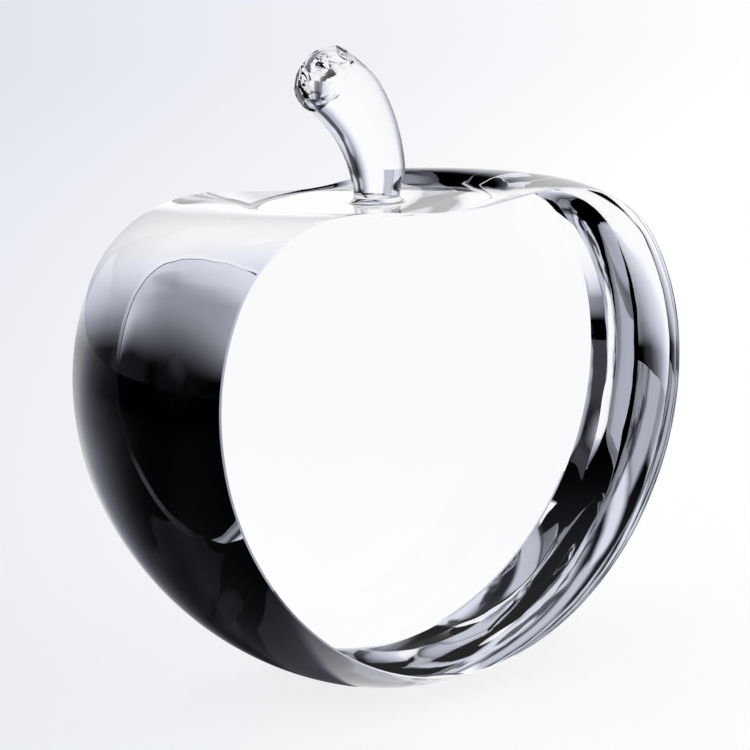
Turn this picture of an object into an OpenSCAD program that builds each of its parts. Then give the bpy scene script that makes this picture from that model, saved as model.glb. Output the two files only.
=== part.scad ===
// Glass apple: a flat-faced slice of a solid crystal apple with a bent, hammer-ended glass stem.
// Millimetres. +Z is up, the base rests on z = 0 and the apple's axis is the Z axis.
// The front face looks along -Y, and the stem leans towards -X.

/* [Body] */
// Width of the apple at its widest point
body_w = 90; // [76:1:110]
// Height of the crest round the dimple above the base
body_h = 71.4; // [60:0.1:85]
// Height of the widest point above the base
belly_h = 45.6; // [40:0.1:52]
// Width of the flat that the apple stands on
base_w = 15; // [12:1:24]
// Angle that the side turns through between the widest point and the shoulder
side_turn = 26; // [20:0.5:40]
// Radius of the shoulder that rolls over into the dimple
shoulder_r = 18; // [14:0.5:22]
// Radius of the side just below the widest point
under_r = 44.5; // [36:0.5:52]
// Angle that this lower side turns through
under_turn = 24; // [18:1:36]

/* [Dimple] */
// Depth of the dimple below the crest
dimple_d = 1.6; // [1:0.1:2.6]
// Radius that blends the shoulder into the dimple's floor
dimple_r = 7; // [4:0.5:14]

/* [Faces] */
// Thickness of the slice between its two polished faces
slice_t = 37; // [28:0.5:44]
// Width of the bevel that breaks each face's edge
arris = 0.5; // [0.3:0.1:1]

/* [Stem] */
// Diameter of the stem's round foot
stem_foot_d = 6.6; // [5:0.1:8.4]
// Diameter of the stem where its knob begins
stem_tip_d = 10.4; // [8:0.1:13]
// Height of the straight foot above the adhesive's fillet
stem_rise = 0.7; // [0.3:0.1:3]
// Radius of the bend along the stem's centre line
stem_bend_r = 21; // [17:0.5:30]
// Angle that the stem bends through
stem_bend = 54; // [35:1:62]

/* [Knob] */
// Height of the rounded, hammered knob at the stem's end
knob_h = 3.2; // [2:0.1:5]
// Depth of the chips struck out of the knob
chip_d = 0.5; // [0.2:0.05:0.8]
// Number of chips over the knob
chips = 15; // [8:1:24]

/* [Bond] */
// Depth of the flat seat cut into the dimple's floor
seat_d = 1.2; // [0.8:0.1:2.5]
// Thickness of the adhesive under the foot
glue_t = 0.2; // [0.1:0.05:0.4]
// Gap round the foot that the adhesive fills
glue_gap = 0.2; // [0.1:0.05:0.4]
// Reach of the adhesive's fillet, up the foot and out along the dimple's floor
fillet_reach = 0.8; // [0.5:0.1:1.4]

/* [Hidden] */
$fn = 144;

body_r = body_w / 2;
base_r = base_w / 2;
half_t = slice_t / 2;

// The upper side and the shoulder are two arcs that meet on one line through both centres.
shoulder_rise = shoulder_r * (1 - sin(side_turn));
side_r = fine((body_h - belly_h - shoulder_rise) / sin(side_turn));
side_c = [body_r - side_r, belly_h];
side_end = side_c + side_r * unit(side_turn);
shoulder_c = side_end - shoulder_r * unit(side_turn);

// The dimple's arc curves the other way, and ends level at the floor.
floor_z = body_h - dimple_d;
dimple_turn = acos((floor_z + dimple_r - shoulder_c[1]) / (shoulder_r + dimple_r));
shoulder_end = shoulder_c + shoulder_r * unit(90 + dimple_turn);
dimple_c = shoulder_end + dimple_r * unit(90 + dimple_turn);

// The lower side goes on from the widest point, and the heel's arc ends on the base's edge.
under_c = [body_r - under_r, belly_h];
under_end = under_c + under_r * unit(-under_turn);
heel_chord = under_end - [base_r, 0];
heel_r = fine((heel_chord * heel_chord) / (2 * heel_chord * unit(-under_turn)));
heel_c = under_end - heel_r * unit(-under_turn);

// Each arc is cut from its disc between two lines that cross the outline square, from a point this
// far inside the glass to a point this far outside it.
inside = 0.5;
outside = 20;
// The straight-sided core stands on the base this far inside the base's edge.
core_inset = 2;
// A far corner for each of the two caps whose arc bulges past the line between its outside points
under_far = [body_w, belly_h - under_r / 3];
shoulder_far = shoulder_c + body_w * unit((side_turn + 90) / 2);

// The seat and the foot share one centre line with the body.
foot_r = stem_foot_d / 2;
seat_r = foot_r + glue_gap;
seat_z = floor_z - seat_d;
foot_z = seat_z + glue_t;
// Thickness of the fillet's blunt edges
fillet_edge = 0.08;

// The stem's skin starts on top of the round foot, this far inside its edge.
skin_inset = 0.02;
skin_z = floor_z + fillet_reach + stem_rise;
skin_r = foot_r - skin_inset;
tip_r = stem_tip_d / 2;
stem_length = stem_bend_r * stem_bend * PI / 180;
stem_sides = 40;
stem_rings = 16;
knob_rings = 9;
// The last smooth ring stays this far from the knob, so that no chip reaches it.
knob_room = 1.2;
// Chips are spread over the knob by the golden angle, and each spans this share of its radius.
golden = 137.508;
chip_span = 0.55;

// How many stations the bevel has along each stretch of a face's edge
heel_steps = 16;
under_steps = 6;
side_steps = 5;
shoulder_steps = 8;
crown_steps = 26;
// The shoulder's stations go by angle up to here, and on over the crest by their distance from x = 0.
crown_turn = 60;
// How far the bevel's cutter reaches past the glass
clear = 0.3;

// A size to the nearest thousandth
function fine(size) = round(size * 1000) / 1000;

// A unit vector at an angle from the outward direction, anticlockwise
function unit(angle) = [cos(angle), sin(angle)];

// The two ends of the line that crosses the outline at a point, where the outline's normal is known
function inner_end(point, angle) = point - inside * unit(angle);
function outer_end(point, angle) = point + outside * unit(angle);

// A station on the body's profile: radius, height and the angle of the outward normal
function on_arc(c, r, angle) = [c[0] + r * cos(angle), c[1] + r * sin(angle), angle];

// The station on the heel, and the one over the shoulder or in the dimple, at a radius
function heel_station(r) = on_arc(heel_c, heel_r, -acos((r - heel_c[0]) / heel_r));
function crown_station(r) =
    r > shoulder_end[0] ? on_arc(shoulder_c, shoulder_r, acos((r - shoulder_c[0]) / shoulder_r))
    : r > dimple_c[0] ? dimple_station(r, acos((dimple_c[0] - r) / dimple_r))
    : [r, floor_z, 90];
function dimple_station(r, angle) = [r, dimple_c[1] - dimple_r * sin(angle), angle];

// Half a face's width at a station, and the radius of the station at half a width
function half_w(station) = sqrt(max(0, station[0]^2 - half_t^2));
function radius_at(w) = norm([w, half_t]);

// The stations of half a face's edge, from the bottom up to the middle of the dimple
function edge_stations() =
    let (
        heel_w = half_w([under_end[0]]),
        crown_w = half_w([shoulder_c[0] + shoulder_r * cos(crown_turn)])
    )
    concat(
        [for (i = [0 : heel_steps - 1]) heel_station(radius_at(heel_w * i / heel_steps))],
        [for (i = [0 : under_steps - 1])
            on_arc(under_c, under_r, under_turn * (i / under_steps - 1))],
        [for (i = [0 : side_steps - 1]) on_arc(side_c, side_r, side_turn * i / side_steps)],
        [for (i = [0 : shoulder_steps - 1])
            on_arc(shoulder_c, shoulder_r,
                side_turn + (crown_turn - side_turn) * i / shoulder_steps)],
        [for (i = [0 : crown_steps]) crown_station(radius_at(crown_w * (1 - i / crown_steps)))]
    );

// The edge's place and outward direction on the face at a station
function edge_place(s) = [half_w(s), s[1]];
function edge_out(s) =
    let (n = [cos(s[2]) * half_w(s) / s[0], sin(s[2])])
    n / norm(n);

// Angle turned by the stem's centre line after a length s of its skin
function turned(s) = s / stem_bend_r * 180 / PI;

// Point on the stem's centre line, and its directions along the stem and towards the bend's inside
function centre(s) =
    [-stem_bend_r * (1 - cos(turned(s))), 0, skin_z + stem_bend_r * sin(turned(s))];
function along(s) = [-sin(turned(s)), 0, cos(turned(s))];
function across(s) = [-cos(turned(s)), 0, -sin(turned(s))];

// The stem flares steadily from foot to tip.
function skin_radius(s) = skin_r + (tip_r - skin_r) * s / stem_length;

// Point on the disc across the stem at s; d is its place on the disc.
function disc_point(s, d) = centre(s) + d[0] * across(s) + [0, d[1], 0];

// Direction from the knob's middle to a chip: across the stem, along Y, and along the stem
function chip_way(k) =
    let (up = 1 - (k + 0.5) / chips, out = sqrt(1 - up^2))
    [out * cos(golden * k), out * sin(golden * k), up];

// Depth of the deepest chip in a direction from the knob's middle
function struck(way) =
    max([
        for (k = [0 : chips - 1])
        let (away = norm(way - chip_way(k)))
        max(0, chip_d * (1 - (away / chip_span)^2))
    ]);

// Point on the knob, at an angle round the stem and a rise from its rim, both in degrees
function knob_point(angle, rise) =
    let (
        way = [cos(rise) * cos(angle), cos(rise) * sin(angle), sin(rise)],
        kept = 1 - struck(way) / tip_r
    )
    disc_point(stem_length, kept * tip_r * [way[0], way[1]])
    + kept * knob_h * way[2] * along(stem_length);

// Half of the body's outline: a straight-sided core, with a cap for each arc that bulges out
module half_outline() {
    base_in = [base_r - core_inset, 0];
    under_in = inner_end(under_end, -under_turn);
    belly_in = inner_end([body_r, belly_h], 0);
    side_in = inner_end(side_end, side_turn);
    shoulder_in = inner_end(shoulder_end, 90 + dimple_turn);
    floor_in = [dimple_c[0], floor_z - inside];
    intersection() {
        union() {
            polygon([
                [-body_w, 0], base_in, under_in, belly_in, side_in, shoulder_in, floor_in,
                [dimple_c[0], floor_z], [-body_w, floor_z]
            ]);
            cap(heel_c, heel_r, [
                base_in, [body_w, 0], outer_end(under_end, -under_turn), under_in
            ]);
            cap(under_c, under_r, [
                under_in, outer_end(under_end, -under_turn), under_far,
                outer_end([body_r, belly_h], 0), belly_in
            ]);
            cap(side_c, side_r, [
                belly_in, outer_end([body_r, belly_h], 0), outer_end(side_end, side_turn), side_in
            ]);
            cap(shoulder_c, shoulder_r, [
                side_in, outer_end(side_end, side_turn), shoulder_far, dimple_c, shoulder_in
            ]);
            dimple_fill(shoulder_in, floor_in);
        }
        translate([0, -1]) square([body_w, body_h + 2]);
    }
}

// The part of a disc inside an outline of straight lines
module cap(c, r, outline) {
    intersection() {
        place(c) circle(r = r);
        polygon(outline);
    }
}

// The glass under the dimple's hollow arc, above the core's straight side
module dimple_fill(shoulder_in, floor_in) {
    difference() {
        polygon([shoulder_in, dimple_c, floor_in]);
        place(dimple_c) circle(r = dimple_r);
    }
}

// Moves to a point in coarse and fine steps, which keeps the arcs' ends together
module place(point) {
    coarse = [round(point[0]), round(point[1])];
    middling = [fine(point[0] - coarse[0]), fine(point[1] - coarse[1])];
    translate(coarse) translate(middling) translate(point - coarse - middling) children();
}

// What the bevel takes off the front face's edge: a three-cornered ring that follows the edge
module bevel_cutter() {
    half = edge_stations();
    n = len(half);
    right = [for (s = half) [edge_place(s), edge_out(s)]];
    left = [
        for (i = [n - 2 : -1 : 1])
        [[-right[i][0][0], right[i][0][1]], [-right[i][1][0], right[i][1][1]]]
    ];
    edge = concat(right, left);
    // Corners of the ring's section: how far outward, and how far behind the face
    corners = [[-arris - clear, -clear], [2 * arris, -clear], [2 * arris, 3 * arris]];
    points = [
        for (e = edge)
        for (c = corners)
        let (at = e[0] + c[0] * e[1])
        [at[0], c[1] - half_t, at[1]]
    ];
    sides = len(corners);
    faces = [
        for (i = [0 : len(edge) - 1])
        for (j = [0 : sides - 1])
        let (
            k = (i + 1) % len(edge),
            a = sides * i + j,
            b = sides * i + (j + 1) % sides,
            c = sides * k + j,
            d = sides * k + (j + 1) % sides
        )
        each [[a, c, b], [b, c, d]]
    ];
    polyhedron(points = points, faces = faces);
}

// Clear crystal turned to the apple's outline, cut to a slice, bevelled and seated for the stem
module crystal_body() {
    color([0.93, 0.95, 1, 0.4])
    difference() {
        intersection() {
            rotate_extrude() half_outline();
            translate([-body_w, -half_t, -1]) cube([2 * body_w, slice_t, body_h + 2]);
        }
        translate([0, 0, seat_z]) cylinder(r = seat_r, h = seat_d + 1);
        bevel_cutter();
        mirror([0, 1, 0]) bevel_cutter();
    }
}

// Clear adhesive: a film under and round the foot, with a hollow fillet on the dimple's floor
module adhesive_bond() {
    color([0.98, 0.98, 0.9, 0.6])
    rotate_extrude()
    difference() {
        polygon([
            [0, seat_z], [seat_r, seat_z], [seat_r, floor_z], [foot_r + fillet_reach, floor_z],
            [foot_r + fillet_reach, floor_z + fillet_reach], [foot_r, floor_z + fillet_reach],
            [foot_r, foot_z], [0, foot_z]
        ]);
        translate([foot_r + fillet_reach, floor_z + fillet_reach])
            circle(r = fillet_reach - fillet_edge);
    }
}

// Bent glass stem on a round foot, flared towards its hammered knob
module glass_stem() {
    color([0.88, 0.91, 1, 0.5])
    union() {
        translate([0, 0, foot_z]) cylinder(r = foot_r, h = skin_z - foot_z);
        stem_skin();
    }
}

// The flared, bent length of the stem, with its hammered knob
module stem_skin() {
    tube = [
        for (i = [0 : stem_rings - 1])
        let (s = (stem_length - knob_room) * i / (stem_rings - 1))
        for (j = [0 : stem_sides - 1])
        disc_point(s, skin_radius(s) * unit(360 * j / stem_sides))
    ];
    knob = [
        for (i = [0 : knob_rings - 1])
        for (j = [0 : stem_sides - 1])
        knob_point(360 * j / stem_sides, 90 * i / knob_rings)
    ];
    points = concat(tube, knob, [knob_point(0, 90)]);
    loops = stem_rings + knob_rings;
    last = (loops - 1) * stem_sides;
    walls = [
        for (i = [0 : loops - 2])
        for (j = [0 : stem_sides - 1])
        let (a = i * stem_sides + j, b = i * stem_sides + (j + 1) % stem_sides)
        each [[a, b, a + stem_sides], [b, b + stem_sides, a + stem_sides]]
    ];
    crown = [
        for (j = [0 : stem_sides - 1])
        [last + j, last + (j + 1) % stem_sides, last + stem_sides]
    ];
    foot = [[for (j = [stem_sides - 1 : -1 : 0]) j]];
    polyhedron(points = points, faces = concat(walls, crown, foot));
}

crystal_body();
adhesive_bond();
glass_stem();
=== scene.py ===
"""A clear glass apple, sliced between two polished faces, with a bent glass stem, on a pale floor."""

import math
import random

import bpy
from mathutils import Matrix, Vector


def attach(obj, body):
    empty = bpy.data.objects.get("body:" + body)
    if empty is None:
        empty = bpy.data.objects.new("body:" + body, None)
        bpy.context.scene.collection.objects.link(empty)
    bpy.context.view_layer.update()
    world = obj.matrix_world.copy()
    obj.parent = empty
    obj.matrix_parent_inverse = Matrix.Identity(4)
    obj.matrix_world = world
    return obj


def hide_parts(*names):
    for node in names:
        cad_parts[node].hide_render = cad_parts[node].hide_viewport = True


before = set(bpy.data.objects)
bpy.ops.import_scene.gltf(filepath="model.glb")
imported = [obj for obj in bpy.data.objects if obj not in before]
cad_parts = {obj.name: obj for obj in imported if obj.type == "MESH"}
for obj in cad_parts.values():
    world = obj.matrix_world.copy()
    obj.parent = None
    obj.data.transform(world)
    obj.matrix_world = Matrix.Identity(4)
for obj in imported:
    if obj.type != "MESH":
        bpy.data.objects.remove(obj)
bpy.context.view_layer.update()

MM = 0.001

# Sizes, in millimetres
BODY_R, BODY_H, BELLY_Z, BASE_R = 45.0, 71.4, 45.6, 7.5
SIDE_TURN, SHOULDER_R = 26.0, 18.0
UNDER_R, UNDER_TURN = 44.5, 24.0
DIMPLE_DEPTH, DIMPLE_R = 1.6, 7.0
HALF_T, BEVEL, FACE_INSET = 18.5, 0.22, 0.22
FOOT_R, TIP_R = 3.3, 5.13
# the stem swells by the first of these, and on the bend's outer side by twice that; the swelling is
# full between the other two lengths along the stem
SWELL, SWELL_FULL, SWELL_LAST = 0.45, 3.0, 13.0
STEM_RISE, BEND_R, BEND_TURN = 0.7, 21.0, 54.0
KNOB_H = 3.1
SEAT_DEPTH, GLUE_T, GLUE_GAP, FILLET, FILLET_EDGE = 1.2, 0.2, 0.2, 0.8, 0.08
# lengths that differ by less are the same, and points that agree to this many digits are merged
SAME, MERGE_DIGITS = 1e-9, 5

FLOOR_Z = BODY_H - DIMPLE_DEPTH
SEAT_Z = FLOOR_Z - SEAT_DEPTH
SEAT_R = FOOT_R + GLUE_GAP
FOOT_Z = SEAT_Z + GLUE_T
FILLET_TOP = FLOOR_Z + FILLET
SKIN_Z = FILLET_TOP + STEM_RISE
STEM_LENGTH = BEND_R * math.radians(BEND_TURN)
WALL_T = HALF_T - BEVEL

# material slots of every glass mesh: what shows, and the faces that are bonded together
SHOWN, BONDED = 0, 1


def unit(angle):
    """Unit vector in the profile's plane, the angle in degrees from outward."""
    a = math.radians(angle)
    return Vector((math.cos(a), math.sin(a)))


# The apple's profile
shoulder_rise = SHOULDER_R * (1 - math.sin(math.radians(SIDE_TURN)))
side_r = (BODY_H - BELLY_Z - shoulder_rise) / math.sin(math.radians(SIDE_TURN))
side_c = Vector((BODY_R - side_r, BELLY_Z))
shoulder_c = side_c + (side_r - SHOULDER_R) * unit(SIDE_TURN)
dimple_turn = math.degrees(
    math.acos((FLOOR_Z + DIMPLE_R - shoulder_c.y) / (SHOULDER_R + DIMPLE_R))
)
shoulder_end = shoulder_c + SHOULDER_R * unit(90 + dimple_turn)
dimple_c = shoulder_end + DIMPLE_R * unit(90 + dimple_turn)
under_c = Vector((BODY_R - UNDER_R, BELLY_Z))
under_end = under_c + UNDER_R * unit(-UNDER_TURN)
heel_chord = under_end - Vector((BASE_R, 0))
heel_r = heel_chord.length_squared / (2 * heel_chord.dot(unit(-UNDER_TURN)))
heel_c = under_end - heel_r * unit(-UNDER_TURN)


def on_arc(centre, radius, angle):
    """A station of the profile: radius, height and the two parts of its outward normal."""
    p, n = centre + radius * unit(angle), unit(angle)
    return (p.x, p.y, n.x, n.y)


def heel_station(r):
    return on_arc(heel_c, heel_r, -math.degrees(math.acos((r - heel_c.x) / heel_r)))


def crown_station(r):
    if r > shoulder_end.x:
        return on_arc(shoulder_c, SHOULDER_R, math.degrees(math.acos((r - shoulder_c.x) / SHOULDER_R)))
    if r > dimple_c.x:
        turn = math.acos((dimple_c.x - r) / DIMPLE_R)
        return (r, dimple_c.y - DIMPLE_R * math.sin(turn), math.cos(turn), math.sin(turn))
    return (r, FLOOR_Z, 0.0, 1.0)


def steps(a, b, n):
    """n + 1 even values from a to b."""
    return [a + (b - a) * i / n for i in range(n + 1)]


def width_at(r):
    return math.sqrt(max(0.0, r * r - WALL_T * WALL_T))


def radius_at(w):
    return math.hypot(w, WALL_T)


# the steps that each stretch of the profile is drawn in, from the base's middle up to the dimple's floor
BASE_STEPS, HEEL_STEPS, EDGE_STEPS, UNDER_STEPS, SIDE_STEPS = 4, 14, 36, 20, 18
SHOULDER_STEPS, CROWN_STEPS, DIMPLE_STEPS, FLOOR_STEPS = 24, 40, 4, 8
# from this profile angle on, in degrees, the steps are even along the face's edge
CROWN_TURN = 60


def body_strips():
    """The profile as strips of stations that are smooth inside, from the base's middle upwards."""
    base = [(r, 0.0, 0.0, -1.0) for r in steps(0, BASE_R, BASE_STEPS)]
    skin = [heel_station(r) for r in steps(BASE_R, WALL_T, HEEL_STEPS)]
    under_w = width_at(under_end.x)
    skin += [heel_station(radius_at(w)) for w in steps(0, under_w, EDGE_STEPS)[1:]]
    skin += [on_arc(under_c, UNDER_R, a) for a in steps(-UNDER_TURN, 0, UNDER_STEPS)[1:]]
    skin += [on_arc(side_c, side_r, a) for a in steps(0, SIDE_TURN, SIDE_STEPS)[1:]]
    turns = steps(SIDE_TURN, CROWN_TURN, SHOULDER_STEPS)
    skin += [on_arc(shoulder_c, SHOULDER_R, a) for a in turns[1:]]
    crown_w = width_at(skin[-1][0])
    skin += [crown_station(radius_at(w)) for w in steps(crown_w, 0, CROWN_STEPS)[1:]]
    skin += [crown_station(r) for r in steps(WALL_T, dimple_c.x, DIMPLE_STEPS)[1:]]
    skin += [crown_station(r) for r in steps(dimple_c.x, FOOT_R + FILLET, FLOOR_STEPS)[1:]]
    ring = [(r, FLOOR_Z, 0.0, 1.0) for r in (FOOT_R + FILLET, SEAT_R)]
    wall = [(SEAT_R, z, -1.0, 0.0) for z in (FLOOR_Z, SEAT_Z)]
    seat = [(r, SEAT_Z, 0.0, 1.0) for r in (SEAT_R, SEAT_R / 2, 0.0)]
    return [(base, SHOWN), (skin, SHOWN), (ring, BONDED), (wall, BONDED), (seat, BONDED)]


class Shape:
    """A mesh in the making: points in millimetres are merged where they meet, normals are kept."""

    def __init__(self):
        self.points, self.index = [], {}
        self.faces, self.normals, self.slots = [], [], []

    def add(self, p):
        key = tuple(round(c, MERGE_DIGITS) + 0.0 for c in p)
        if key not in self.index:
            self.index[key] = len(self.points)
            self.points.append(p)
        return self.index[key]

    def face(self, corners, slot=SHOWN):
        """Adds a face from (point, normal) pairs; corners that merge count once."""
        ids, ns = [], []
        for p, n in corners:
            i = self.add(p)
            if i not in ids:
                ids.append(i)
                ns.append(n)
        if len(ids) > 2:
            self.faces.append(ids)
            self.normals.append(ns)
            self.slots.append(slot)

    def finish(self, name, materials):
        mesh = bpy.data.meshes.new(name)
        mesh.from_pydata([Vector(p) * MM for p in self.points], [], self.faces)
        for m in materials:
            mesh.materials.append(m)
        mesh.polygons.foreach_set("material_index", self.slots)
        mesh.polygons.foreach_set("use_smooth", [True] * len(self.faces))
        mesh.normals_split_custom_set([n for ns in self.normals for n in ns])
        mesh.update()
        obj = bpy.data.objects.new(name, mesh)
        bpy.context.scene.collection.objects.link(obj)
        return obj


# the quads across each half of the turned wall, from face to face
COLUMNS = 64


def wall_corner(station, v, side):
    """Point and normal on the turned surface; v runs from -1 at the front to 1 at the back."""
    r, z, nr, nz = station
    span = math.pi / 2 if r <= WALL_T else math.asin(WALL_T / r)
    c, s = math.cos(v * span), math.sin(v * span)
    if abs(v) == 1 and r <= WALL_T:
        c = 0.0
    return (Vector((side * r * c, r * s, z)), Vector((side * nr * c, nr * s, nz)))


def build_body(materials):
    shape = Shape()
    for rows, slot in body_strips():
        for low, high in zip(rows, rows[1:]):
            for side in (1, -1):
                for j in range(COLUMNS):
                    v0, v1 = 2 * j / COLUMNS - 1, 2 * (j + 1) / COLUMNS - 1
                    quad = [
                        wall_corner(low, v0, side), wall_corner(low, v1, side),
                        wall_corner(high, v1, side), wall_corner(high, v0, side),
                    ]
                    shape.face(quad[::side], slot)
    edge = [s for s in body_strips()[1][0] if s[0] >= WALL_T - SAME]
    loop = [(1, s) for s in edge] + [(-1, s) for s in edge[-2:0:-1]]
    for end in (-1, 1):
        rim, face = [], []
        for side, s in loop:
            w = width_at(s[0])
            out = Vector((side * s[2] * w / s[0], s[3])).normalized()
            rim.append((Vector((side * w, end * WALL_T, s[1])), out))
            face.append(Vector((side * w - FACE_INSET * out.x, end * HALF_T, s[1] - FACE_INSET * out.y)))
        slope = Vector((BEVEL, FACE_INSET)).normalized()
        count = len(loop)
        for k in range(count):
            n = (k + 1) % count
            corners = []
            for p, out in (
                (rim[k][0], rim[k][1]), (rim[n][0], rim[n][1]), (face[n], rim[n][1]), (face[k], rim[k][1]),
            ):
                corners.append((p, Vector((out.x * slope.x, end * slope.y, out.y * slope.x))))
            shape.face(corners[:: -end])
        flat = Vector((0, end, 0))
        shape.face([(p, flat) for p in face[:: -end]])
    return shape.finish("crystal_apple", materials)


BOND_SIDES, FILLET_STEPS = 96, 12


def revolve(shape, rows, slot, sides=BOND_SIDES):
    """Adds a strip of stations turned round the z axis."""
    for low, high in zip(rows, rows[1:]):
        for j in range(sides):
            a0, a1 = 2 * math.pi * j / sides, 2 * math.pi * ((j + 1) % sides) / sides
            quad = []
            for (r, z, nr, nz), a in ((low, a0), (low, a1), (high, a1), (high, a0)):
                c, s = math.cos(a), math.sin(a)
                quad.append((Vector((r * c, r * s, z)), Vector((nr * c, nr * s, nz))))
            shape.face(quad, slot)


def build_bond(materials):
    shape = Shape()
    lip_r = FOOT_R + FILLET
    revolve(shape, [(0, SEAT_Z, 0, -1), (SEAT_R, SEAT_Z, 0, -1)], BONDED)
    revolve(shape, [(SEAT_R, SEAT_Z, 1, 0), (SEAT_R, FLOOR_Z, 1, 0)], BONDED)
    revolve(shape, [(SEAT_R, FLOOR_Z, 0, -1), (lip_r, FLOOR_Z, 0, -1)], BONDED)
    revolve(shape, [(lip_r, FLOOR_Z, 1, 0), (lip_r, FLOOR_Z + FILLET_EDGE, 1, 0)], SHOWN)
    hollow = FILLET - FILLET_EDGE
    arc = []
    for a in steps(0, 90, FILLET_STEPS):
        s, c = math.sin(math.radians(a)), math.cos(math.radians(a))
        arc.append((lip_r - hollow * s, FILLET_TOP - hollow * c, s, c))
    revolve(shape, arc, SHOWN)
    revolve(shape, [(FOOT_R + FILLET_EDGE, FILLET_TOP, 0, 1), (FOOT_R, FILLET_TOP, 0, 1)], SHOWN)
    revolve(shape, [(FOOT_R, FILLET_TOP, -1, 0), (FOOT_R, FOOT_Z, -1, 0)], BONDED)
    revolve(shape, [(FOOT_R, FOOT_Z, 0, 1), (0, FOOT_Z, 0, 1)], BONDED)
    return shape.finish("stem_bond", materials)


STEM_SIDES = 160
BEND_RINGS = 56
KNOB_RINGS = 46
# the knob's chips: the large ones are the CAD model's, the small ones are only in this model
CHIPS, CHIP_DEPTH, CHIP_SPAN, GOLDEN = 15, 0.5, 0.55, 137.508
SMALL_CHIPS, SMALL_SPAN, SMALL_DEPTH, SMALL_TURN = 46, (0.14, 0.36), (0.22, 0.5), 61.0
# the small chips reach this far down the knob, where 0 is its top and 1 its rim
SMALL_FALL = 1.25
CHIP_SEED = 11
# chips still reach into this stretch below the knob's rim, which counts as so many degrees below it
KNOB_ROOM, ROOM_DROP = 1.2, 30.0


def stem_frame(s):
    """Centre of the stem's line and its directions along and across, a length s past the straight foot."""
    a = max(0.0, s) / BEND_R
    centre = Vector((-BEND_R * (1 - math.cos(a)), 0, SKIN_Z + BEND_R * math.sin(a) + min(0.0, s)))
    along = Vector((-math.sin(a), 0, math.cos(a)))
    across = Vector((-math.cos(a), 0, -math.sin(a)))
    return centre, along, across


def ease(value, start, end):
    t = min(1.0, max(0.0, (value - start) / (end - start)))
    return t * t * (3 - 2 * t)


def swell(s):
    return SWELL * ease(s, -STEM_RISE, SWELL_FULL) * ease(s, STEM_LENGTH, SWELL_LAST)


def stem_radius(s):
    return FOOT_R + (TIP_R - FOOT_R) * max(0.0, s) / STEM_LENGTH + swell(s)


def stem_point(a, s):
    """A place on the stem's skin; a is the angle round it, 0 on the bend's outer side."""
    centre, _, across = stem_frame(s)
    out = -math.cos(a) * across + Vector((0, math.sin(a), 0))
    return centre - swell(s) * across + stem_radius(s) * out


def skin_normal(point, a, t, step=0.01):
    """Outward normal of a skin given by a function of the angle round it and the way along it."""
    round_ = point(a + step, t) - point(a - step, t)
    rise = point(a, t + step) - point(a, t - step)
    return round_.cross(rise).normalized()


def chip_way(fall, turn):
    """Direction from the knob's middle to a chip."""
    up = 1 - fall
    out = math.sqrt(1 - up * up)
    return Vector((out * math.cos(math.radians(turn)), out * math.sin(math.radians(turn)), up))


def knob_chips():
    dice = random.Random(CHIP_SEED)
    chips = [(chip_way((k + 0.5) / CHIPS, GOLDEN * k), CHIP_SPAN, CHIP_DEPTH) for k in range(CHIPS)]
    for k in range(SMALL_CHIPS):
        way = chip_way(SMALL_FALL * (k + dice.random()) / SMALL_CHIPS, SMALL_TURN + GOLDEN * k)
        chips.append((way, dice.uniform(*SMALL_SPAN), dice.uniform(*SMALL_DEPTH)))
    return chips


KNOB_CHIPS = knob_chips()


def knob_way(a, e):
    return Vector((-math.cos(a) * math.cos(e), math.sin(a) * math.cos(e), math.sin(e)))


def struck(way, chip):
    centre, span, depth = chip
    return depth * (1 - ((way - centre).length / span) ** 2)


def deepest(a, e):
    """The chip that cuts deepest at a place on the knob, or None."""
    way = knob_way(a, e)
    chip = max(KNOB_CHIPS, key=lambda c: struck(way, c))
    return chip if struck(way, chip) > 0 else None


def knob_point(a, e, chip):
    """A place on the knob as one chip leaves it; below the rim e is negative and follows the stem."""
    way = knob_way(a, e)
    kept = 1 - (struck(way, chip) / TIP_R if chip else 0.0)
    s = STEM_LENGTH + min(0.0, math.degrees(e) / ROOM_DROP) * KNOB_ROOM
    centre, along, across = stem_frame(s)
    out = -math.cos(a) * across + Vector((0, math.sin(a), 0))
    wide = stem_radius(s) * (math.cos(e) if e > 0 else 1.0)
    lift = kept * KNOB_H * max(0.0, math.sin(e)) * along
    return centre - swell(s) * across + kept * wide * out + lift


def knob_normal(a, e, chip, short_of_top=0.02):
    return skin_normal(lambda b, t: knob_point(b, t, chip), a, min(e, math.pi / 2 - short_of_top))


def build_stem(materials):
    shape = Shape()
    revolve(shape, [(0, FOOT_Z, 0, -1), (FOOT_R, FOOT_Z, 0, -1)], BONDED, STEM_SIDES)
    lengths = [FOOT_Z - SKIN_Z] + steps(FILLET_TOP - SKIN_Z, STEM_LENGTH - KNOB_ROOM, BEND_RINGS)
    angles = [2 * math.pi * j / STEM_SIDES for j in range(STEM_SIDES)]
    rings = [[(stem_point(a, s), skin_normal(stem_point, a, s)) for a in angles] for s in lengths]
    for k, (low, high) in enumerate(zip(rings, rings[1:])):
        for j in range(STEM_SIDES):
            n = (j + 1) % STEM_SIDES
            shape.face([low[j], low[n], high[n], high[j]], BONDED if k == 0 else SHOWN)

    rises = [math.radians(e) for e in steps(-ROOM_DROP, 90, KNOB_RINGS)]
    places = [[knob_point(a, e, deepest(a, e)) for a in angles] for e in rises]
    places[0] = [p for p, n in rings[-1]]
    half = math.pi / STEM_SIDES
    for k in range(KNOB_RINGS):
        for j in range(STEM_SIDES):
            n = (j + 1) % STEM_SIDES
            chip = deepest(angles[j] + half, (rises[k] + rises[k + 1]) / 2)
            corners = []
            for i, column in ((k, j), (k, n), (k + 1, n), (k + 1, j)):
                corners.append((places[i][column], knob_normal(angles[column], rises[i], chip)))
            shape.face(corners)
    return shape.finish("hammered_stem", materials)


# Materials


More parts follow.
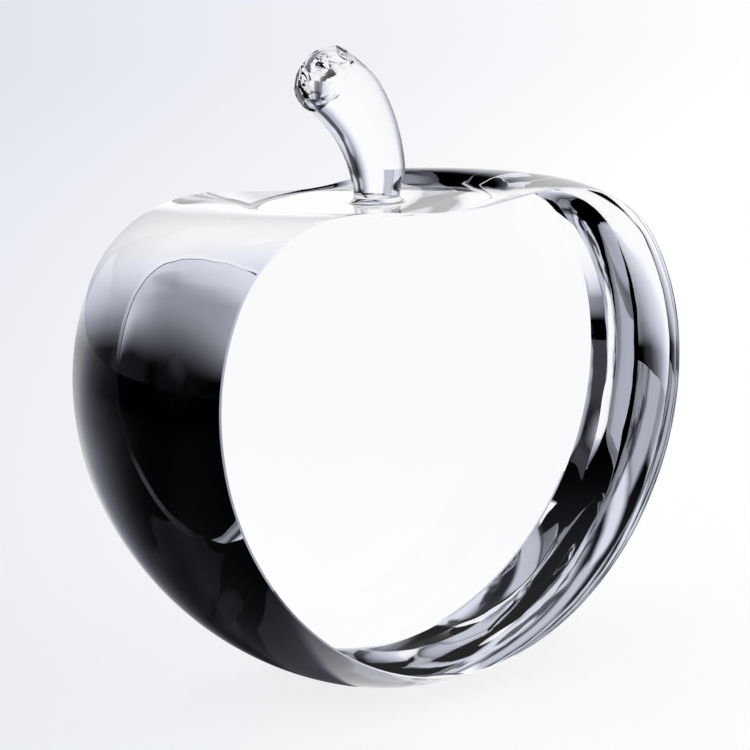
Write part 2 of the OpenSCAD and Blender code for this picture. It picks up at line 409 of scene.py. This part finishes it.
class Graph:
    """A node tree with short ways to build sums from its nodes."""

    def __init__(self, tree):
        self.nodes, self.links = tree.nodes, tree.links
        self.nodes.clear()

    def node(self, kind, **settings):
        n = self.nodes.new(kind)
        for key, value in settings.items():
            setattr(n, key, value)
        return n

    def put(self, socket, value):
        if hasattr(value, "links"):
            self.links.new(value, socket)
        else:
            socket.default_value = value

    def math(self, operation, *values):
        n = self.node("ShaderNodeMath", operation=operation)
        for socket, value in zip(n.inputs, values):
            self.put(socket, value)
        return n.outputs[0]

    def fade(self, value, start, end):
        """0 at start and 1 at end, smooth between."""
        n = self.node("ShaderNodeMapRange", interpolation_type="SMOOTHSTEP")
        for socket, v in zip(n.inputs, (value, start, end, 0.0, 1.0)):
            self.put(socket, v)
        return n.outputs[0]

    def ramp(self, value, stops, interpolation="EASE"):
        """A colour ramp; stops are (place, colour or grey)."""
        n = self.node("ShaderNodeValToRGB")
        n.color_ramp.interpolation = interpolation
        elements = n.color_ramp.elements
        for place, _ in stops[2:]:
            elements.new(place)
        for element, (place, colour) in zip(elements, stops):
            element.position = place
            rgb = colour if isinstance(colour, tuple) else (colour,) * 3
            element.color = (*rgb, 1)
        self.put(n.inputs[0], value)
        return n.outputs[0]

    def mix(self, kind, factor, a, b):
        if kind == "shader":
            n = self.node("ShaderNodeMixShader")
            self.put(n.inputs[0], factor)
            self.links.new(a, n.inputs[1])
            self.links.new(b, n.inputs[2])
            return n.outputs[0]
        n = self.node("ShaderNodeMix", data_type="RGBA")
        self.put(n.inputs["Factor"], factor)
        self.put(n.inputs["A"], a)
        self.put(n.inputs["B"], b)
        return n.outputs["Result"]


def new_graph(name):
    m = bpy.data.materials.new(name)
    m.use_nodes = True
    return m, Graph(m.node_tree)


GLASS_IOR, ADHESIVE_IOR = 1.52, 1.5
# clouds of tint: their size in metres, the noise levels they run between, and each glass's two tints
TINT_SIZE, TINT_LEVELS = 0.02, (0.35, 0.65)
CRYSTAL_TINTS = ((0.975, 0.981, 1.0), (0.99, 0.992, 1.0))
STEM_TINTS = ((0.965, 0.972, 1.0), (0.99, 0.992, 1.0))
ADHESIVE_TINTS = ((0.97, 0.975, 0.985), (0.99, 0.99, 0.99))
# polishing ripples: their size and height in metres
CRYSTAL_RIPPLES, STEM_RIPPLES, ADHESIVE_RIPPLES = (0.011, 0.000015), (0.006, 0.00001), (0.002, 0.000004)
# how many times higher the crystal's ripples are on the right, and where they rise, in metres along X
RIGHT_SIDE, RIGHT_FROM = 5.0, (-0.005, 0.02)
# a normal that leans this far along Y belongs to a flat polished face, which has no ripples
FLAT_FROM, FLAT_TO = 0.98, 0.995
# how much of the light that falls through the glass goes straight on
SHADOW_CLEAR = 0.85
# tint of the reflection at right angles, which a coated, polished glass loses most of
POLISH_TINT = (0.3, 0.3, 0.35, 1)
# clouds in the bonded joint
JOINT_SIZE, JOINT_LEVELS = 0.002, (0.3, 0.7)
JOINT_TINTS = ((0.985, 0.987, 0.99), (1.0, 1.0, 1.0))


def cloud(g, size, detail=2.0):
    """Soft noise from 0 to 1, in blots of about this size in metres."""
    noise = g.node("ShaderNodeTexNoise")
    g.put(noise.inputs["Vector"], g.node("ShaderNodeTexCoord").outputs["Object"])
    g.put(noise.inputs["Scale"], 1 / size)
    g.put(noise.inputs["Detail"], detail)
    return noise.outputs["Fac"]


def ripples(g, size, right_side):
    """Polishing ripples, higher on the right by a factor, and none on the flat faces."""
    place = g.node("ShaderNodeSeparateXYZ")
    g.put(place.inputs[0], g.node("ShaderNodeTexCoord").outputs["Object"])
    lean = g.node("ShaderNodeSeparateXYZ")
    g.put(lean.inputs[0], g.node("ShaderNodeNewGeometry").outputs["Normal"])
    higher = g.math("MULTIPLY", g.fade(place.outputs[0], *RIGHT_FROM), right_side - 1)
    waves = g.math("MULTIPLY", cloud(g, size), g.math("ADD", higher, 1.0))
    turned = g.fade(g.math("ABSOLUTE", lean.outputs[1]), FLAT_TO, FLAT_FROM)
    return g.math("MULTIPLY", waves, turned)


def glass_material(name, ior, tints, ripple_measures, right_side=1.0):
    """Clear glass with faint clouds of tint and polishing ripples."""
    m, g = new_graph(name)
    size, height = ripple_measures
    glass = g.node("ShaderNodeBsdfPrincipled")
    glass.inputs["Transmission Weight"].default_value = 1.0
    glass.inputs["IOR"].default_value = ior
    glass.inputs["Roughness"].default_value = 0.0
    glass.inputs["Specular Tint"].default_value = POLISH_TINT
    g.put(glass.inputs["Base Color"], g.ramp(cloud(g, TINT_SIZE), tuple(zip(TINT_LEVELS, tints))))
    bump = g.node("ShaderNodeBump")
    g.put(bump.inputs["Strength"], 1.0)
    g.put(bump.inputs["Distance"], height)
    g.put(bump.inputs["Height"], ripples(g, size, right_side))
    g.put(glass.inputs["Normal"], bump.outputs["Normal"])

    clear = g.node("ShaderNodeBsdfTransparent")
    path = g.node("ShaderNodeLightPath")
    soft = g.math("MAXIMUM", path.outputs["Is Shadow Ray"], path.outputs["Is Diffuse Ray"])
    shown = g.mix("shader", g.math("MULTIPLY", soft, SHADOW_CLEAR), glass.outputs[0], clear.outputs[0])
    g.put(g.node("ShaderNodeOutputMaterial").inputs[0], shown)
    return m


def bonded_material():
    """The wetted faces between glass and adhesive, which show only as a breath of cloud."""
    m, g = new_graph("bonded joint")
    clear = g.node("ShaderNodeBsdfTransparent")
    g.put(clear.inputs["Color"], g.ramp(cloud(g, JOINT_SIZE), tuple(zip(JOINT_LEVELS, JOINT_TINTS))))
    g.put(g.node("ShaderNodeOutputMaterial").inputs[0], clear.outputs[0])
    return m


# The studio

# Bright-field light for glass: lit sheets behind the apple, and round it a painted pool of light that the
# floor glows with, in a dark room.
# Places go by compass, in degrees: 0 is behind the apple's back face, 90 to its right, -90 to its left.
# Levels run from 0 to 1, and the greys that they stand for have a faint lavender tint.
GREYS = (
    (0.0, (0.0, 0.0, 0.0)),
    (0.18, (0.172, 0.178, 0.211)),
    (0.47, (0.447, 0.463, 0.54)),
    (0.8, (0.77, 0.79, 0.88)),
    (1.0, (1.0, 1.0, 1.0)),
)
# lit sheets: compass from and to, elevation from and to, softness of left, right and level edges, level
SHEETS = (
    (26, 58, -20, 46, 6, 22, 8, 1.0),
    (-18, 58, 30, 44, 10, 22, 7, 0.55),
    (-54, -8, 26, 38, 8, 8, 7, 0.75),
    (-50, -25, -20, 25, 8, 8, 8, 0.45),
    (-158, -118, 14, 36, 8, 8, 6, 0.55),
    (96, 121, 2, 30, 14, 14, 6, 0.07),
    (10, 30, -5, 30, 6, 6, 8, 0.55),
    (165, 200, -20, 2, 12, 8, 6, 0.6),
    (-200, -148, -20, 2, 8, 12, 6, 0.6),
)
# the room round the sheets, in the same measures, which is lit in patches
ROOM = (
    (-200, 200, 50, 100, 8, 8, 12, 1.0),
    (58, 96, 8, 60, 14, 12, 12, 1.0),
    (-86, -52, -10, 60, 10, 10, 8, 0.4),
)
PATCH_SCALE, PATCHES = 5.0, ((0.4, 0.06), (0.53, 0.75))
# the low sheet on the left, by compass: its level, the elevation of its top edge, the edge's softness
LOW_SHEET = (
    (-60, 0.05), (-40, 0.2), (-24, 0.28), (-20, 0.3), (-18, 0.33), (-16, 0.4), (-14, 0.5),
    (-12, 0.58), (-10, 0.65), (-7, 0.7), (-4, 0.74), (8, 0.78), (14, 0.0),
)
LOW_TOP = ((-23, 12.3), (-19, 12.0), (-15, 10.9), (-11, 10.5), (-5, 13.5))
LOW_SOFT = ((-21, 3.2), (-13, 1.6))
STEEPEST = 90.0
# painted light: the glow painted on the table, by compass, close by and far out, and the metres in which
# one passes into the other
TABLE_NEAR = (
    (-180, 0.6), (-150, 0.6), (-132, 0.1), (-110, 0.3), (-100, 0.25), (-75, 0.3), (-65, 0.16),
    (-55, 0.2), (-45, 0.33), (-35, 0.47), (-25, 0.6), (-15, 0.76), (-4, 1.0), (50, 1.0),
    (58, 0.75), (66, 0.3), (74, 0.1), (90, 0.0), (152, 0.0), (170, 0.6),
)
TABLE_FAR = (
    (-180, 0.6), (-150, 0.6), (-135, 0.0), (-65, 0.0), (-45, 0.04), (-35, 0.13), (-25, 0.33),
    (-15, 0.6), (-4, 1.0), (50, 1.0), (58, 0.75), (66, 0.3), (74, 0.0), (152, 0.0), (170, 0.6),
)
TABLE_TURNS = (0.15, 0.4)
# painted light: the pool of light painted on the floor round the apple: where it lies by compass, and its
# level by distance in metres
POOL = ((-112, 1.0), (-104, 0.0), (-30, 0.0), (-10, 1.0))
POOL_REACH = 0.25
POOL_LEVEL = (
    (0.05, 1.0), (0.07, 0.96), (0.09, 0.86), (0.107, 0.76), (0.122, 0.66), (0.14, 0.49),
    (0.162, 0.24), (0.187, 0.07), (0.212, 0.0),
)
# outer reflections raise the studio's levels to this power, which darkens its dim parts
MIRRORED = 2.0
# outer reflections see nothing of the studio above these elevations and right of these compass places
SCREEN_RISE, SCREEN_FROM = (10.0, 24.0), (8.0, 28.0)


def compass(g, x, y):
    return g.math("DEGREES", g.math("ARCTAN2", x, y))


def by_compass(g, azimuth, stops):
    """A level that changes evenly between stops of (compass, level)."""
    turn = g.math("DIVIDE", g.math("ADD", azimuth, 180.0), 360.0)
    return g.ramp(turn, [((a + 180) / 360, level) for a, level in stops], "LINEAR")


def degrees_by_compass(g, azimuth, stops):
    """The same for stops of (compass, degrees)."""
    share = by_compass(g, azimuth, [(a, degrees / STEEPEST) for a, degrees in stops])
    return g.math("MULTIPLY", share, STEEPEST)


def sheet(g, azimuth, elevation, left, right, low, high, left_soft, right_soft, soft, level):
    """A lit sheet's level in a direction, with soft edges."""
    parts = [
        g.fade(azimuth, left - left_soft / 2, left + left_soft / 2),
        g.fade(azimuth, right + right_soft / 2, right - right_soft / 2),
        g.fade(elevation, low - soft / 2, low + soft / 2),
        g.fade(elevation, high + soft / 2, high - soft / 2),
    ]
    for part in parts:
        level = g.math("MULTIPLY", level, part)
    return level


def low_sheet(g, azimuth, elevation):
    above = g.math("SUBTRACT", elevation, degrees_by_compass(g, azimuth, LOW_TOP))
    soft = degrees_by_compass(g, azimuth, LOW_SOFT)
    edge = g.fade(above, soft, g.math("MULTIPLY", soft, -1.0))
    return g.math("MULTIPLY", by_compass(g, azimuth, LOW_SHEET), edge)


def studio_sky(g, way, azimuth, elevation):
    """The studio's level in a direction, given as a vector and as its compass place and elevation."""
    lit = low_sheet(g, azimuth, elevation)
    for measures in SHEETS:
        lit = g.math("MAXIMUM", lit, sheet(g, azimuth, elevation, *measures))
    noise = g.node("ShaderNodeTexNoise")
    g.put(noise.inputs["Vector"], way)
    g.put(noise.inputs["Scale"], PATCH_SCALE)
    patches = g.ramp(noise.outputs["Fac"], PATCHES)
    for measures in ROOM:
        room = g.math("MULTIPLY", patches, sheet(g, azimuth, elevation, *measures))
        lit = g.math("MAXIMUM", lit, room)
    return lit


def painted_floor_glow(g, x, y):
    """The floor's painted glow at a place, in metres from the apple's middle: a painted pool of light
    round the apple, and painted light and dark by compass.
    """
    bearing = compass(g, x, y)
    distance = g.math("SQRT", g.math("ADD", g.math("MULTIPLY", x, x), g.math("MULTIPLY", y, y)))
    levels = [(d / POOL_REACH, level) for d, level in POOL_LEVEL]
    round_apple = g.ramp(g.math("DIVIDE", distance, POOL_REACH), levels, "LINEAR")
    pool = g.math("MULTIPLY", round_apple, by_compass(g, bearing, POOL))
    near, far = by_compass(g, bearing, TABLE_NEAR), by_compass(g, bearing, TABLE_FAR)
    is_far = g.fade(distance, *TABLE_TURNS)
    table = g.math("ADD", near, g.math("MULTIPLY", is_far, g.math("SUBTRACT", far, near)))
    return g.math("MAXIMUM", pool, table)


def outer_reflection(g, path):
    """1 for a ray that glass reflects on its outside; a ray that leaves glass counts as glossy too."""
    outer = g.math("SUBTRACT", path.outputs["Is Glossy Ray"], path.outputs["Is Transmission Ray"])
    return g.math("MAXIMUM", outer, 0.0)


def mirrored(g, lit, outer):
    """The studio's level, darker for the glass's outer reflections."""
    return g.math("POWER", lit, g.math("ADD", 1.0, g.math("MULTIPLY", outer, MIRRORED - 1)))


def seen_through_glass(g, path):
    return g.math("MAXIMUM", path.outputs["Is Transmission Ray"], path.outputs["Is Glossy Ray"])


# The floor

FLOOR_SIZE, FLOOR_DROP = 6.0, 0.00005
# painted shade: the floor's painted shade, a light fall-off, spreads like a fan: the way it opens, and how
# far back its tip lies, in metres
FAN_AZIMUTH, FAN_BACK, FAN_LEAST = 37.0, 0.45, 0.2
# how much greyer the painted shade makes it across the fan and far along it, and its painted shade in the
# middle
SIDE_PAINTED_SHADE, FAR_PAINTED_SHADE, BASE_PAINTED_SHADE = -3.97, 0.47, 0.06
FAR_STRETCH = (0.35, 1.6)
# the floor's colours, from its own pale white to the lavender grey of the painted shade
PALE_TO_PAINTED_SHADE = ((0.0, (1.0, 1.0, 1.0)), (1.0, (0.76, 0.783, 0.855)))


def painted_floor_shade(g, x, y):
    """How grey the painted shade makes the floor at a place, from 0 to 1: a painted light fall-off, greyer
    to the left and far away.
    """
    c, s = math.cos(math.radians(FAN_AZIMUTH)), math.sin(math.radians(FAN_AZIMUTH))
    across = g.math("SUBTRACT", g.math("MULTIPLY", x, c), g.math("MULTIPLY", y, s))
    away = g.math("ADD", g.math("MULTIPLY", x, s), g.math("MULTIPLY", y, c))
    away = g.math("MAXIMUM", g.math("ADD", away, FAN_BACK), FAN_LEAST)
    side_painted_shade = g.math("MULTIPLY", g.math("DIVIDE", across, away), SIDE_PAINTED_SHADE)
    far_painted_shade = g.math("MULTIPLY", g.fade(away, *FAR_STRETCH), FAR_PAINTED_SHADE)
    return g.math("ADD", g.math("ADD", side_painted_shade, far_painted_shade), BASE_PAINTED_SHADE)


def floor_material():
    m, g = new_graph("pale floor")
    place = g.node("ShaderNodeSeparateXYZ")
    g.put(place.inputs[0], g.node("ShaderNodeTexCoord").outputs["Object"])
    x, y = place.outputs[0], place.outputs[1]
    surface = g.node("ShaderNodeBsdfDiffuse")
    # painted shade: the floor's colour is painted greyer to the left and far away, in place of light
    # falling off
    g.put(surface.inputs["Color"], g.ramp(painted_floor_shade(g, x, y), PALE_TO_PAINTED_SHADE, "LINEAR"))
    path = g.node("ShaderNodeLightPath")
    # painted light: seen through the glass, the floor glows with a painted pool of light and painted light
    # and dark stretches in place of its lit colour
    lit = mirrored(g, painted_floor_glow(g, x, y), outer_reflection(g, path))
    painted_glow = g.node("ShaderNodeEmission")
    g.put(painted_glow.inputs["Color"], g.ramp(lit, GREYS, "LINEAR"))
    shown = g.mix("shader", seen_through_glass(g, path), surface.outputs[0], painted_glow.outputs[0])
    g.put(g.node("ShaderNodeOutputMaterial").inputs[0], shown)
    return m


def build_floor():
    half = FLOOR_SIZE / 2
    mesh = bpy.data.meshes.new("floor")
    corners = [(-half, -half, 0), (half, -half, 0), (half, half, 0), (-half, half, 0)]
    mesh.from_pydata(corners, [], [(0, 1, 2, 3)])
    mesh.materials.append(floor_material())
    obj = bpy.data.objects.new("floor", mesh)
    obj.location.z = -FLOOR_DROP
    bpy.context.scene.collection.objects.link(obj)
    return obj


# The world

# plain white light, a pale backdrop for the camera, and the studio for what the glass shows
PLAIN_LIGHT, BACKDROP = (1.0, 1.0, 1.0, 1), (0.86, 0.88, 0.93, 1)


def build_world():
    world = bpy.data.worlds.new("studio")
    bpy.context.scene.world = world
    world.use_nodes = True
    g = Graph(world.node_tree)
    way = g.node("ShaderNodeTexCoord").outputs["Generated"]
    split = g.node("ShaderNodeSeparateXYZ")
    g.put(split.inputs[0], way)
    azimuth = compass(g, split.outputs[0], split.outputs[1])
    elevation = g.math("DEGREES", g.math("ARCSINE", split.outputs[2]))
    path = g.node("ShaderNodeLightPath")
    outer = outer_reflection(g, path)
    screen = g.math("MULTIPLY", g.fade(elevation, *SCREEN_RISE), g.fade(azimuth, *SCREEN_FROM))
    lit = mirrored(g, studio_sky(g, way, azimuth, elevation), outer)
    lit = g.math("MULTIPLY", lit, g.math("SUBTRACT", 1.0, g.math("MULTIPLY", outer, screen)))
    plain = g.mix("colour", path.outputs["Is Camera Ray"], PLAIN_LIGHT, BACKDROP)
    sky = g.node("ShaderNodeBackground")
    shown = g.mix("colour", seen_through_glass(g, path), plain, g.ramp(lit, GREYS, "LINEAR"))
    g.put(sky.inputs["Color"], shown)
    g.put(g.node("ShaderNodeOutputWorld").inputs[0], sky.outputs[0])


# The camera

# where it stands, what it is aimed at and the pixel in which that lands, counted from the upper left
CAMERA_AT = Vector((-268.812, -356.264, 128.549)) * MM
TARGET = Vector((0, 0, 38)) * MM
LANDS_AT = (384.507, 419.762)
FOCAL_PX, FRAME_PX = 3146.28, 750
ROLL = -1.943
SENSOR = 36.0
CLIP_FROM, CLIP_TO = 0.01, 20


def place_camera():
    ahead = (TARGET - CAMERA_AT).normalized()
    right = ahead.cross(Vector((0, 0, 1))).normalized()
    up = right.cross(ahead)
    c, s = math.cos(math.radians(ROLL)), math.sin(math.radians(ROLL))
    right, up = c * right + s * up, c * up - s * right
    mid = FRAME_PX / 2
    aim = Vector(((LANDS_AT[0] - mid) / FOCAL_PX, -(LANDS_AT[1] - mid) / FOCAL_PX, 1.0)).normalized()
    turn = Vector((0, 0, 1)).rotation_difference(aim).to_matrix()
    axes = [turn[i][0] * right + turn[i][1] * up + turn[i][2] * ahead for i in range(3)]
    lens = bpy.data.cameras.new("camera")
    lens.sensor_width = SENSOR
    lens.lens = FOCAL_PX * SENSOR / FRAME_PX
    lens.clip_start, lens.clip_end = CLIP_FROM, CLIP_TO
    camera = bpy.data.objects.new("camera", lens)
    pose = Matrix((axes[0], axes[1], -axes[2])).transposed().to_4x4()
    pose.translation = CAMERA_AT
    camera.matrix_world = pose
    bpy.context.scene.collection.objects.link(camera)
    bpy.context.scene.camera = camera


crystal = glass_material("optical crystal", GLASS_IOR, CRYSTAL_TINTS, CRYSTAL_RIPPLES, RIGHT_SIDE)
stem_glass = glass_material("fire-polished glass", GLASS_IOR, STEM_TINTS, STEM_RIPPLES)
adhesive = glass_material("clear adhesive", ADHESIVE_IOR, ADHESIVE_TINTS, ADHESIVE_RIPPLES)
joint = bonded_material()

apple = build_body([crystal, joint])
bond = build_bond([adhesive, joint])
stem = build_stem([stem_glass, joint])

for piece, node, slot in (
    (apple, "crystal_body", "crystal"),
    (bond, "adhesive_bond", "adhesive"),
    (stem, "glass_stem", "stem_glass"),
):
    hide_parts(node)
    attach(piece, "root")

floor = build_floor()
build_world()
place_camera()
bpy.context.scene.view_settings.view_transform = "Standard"
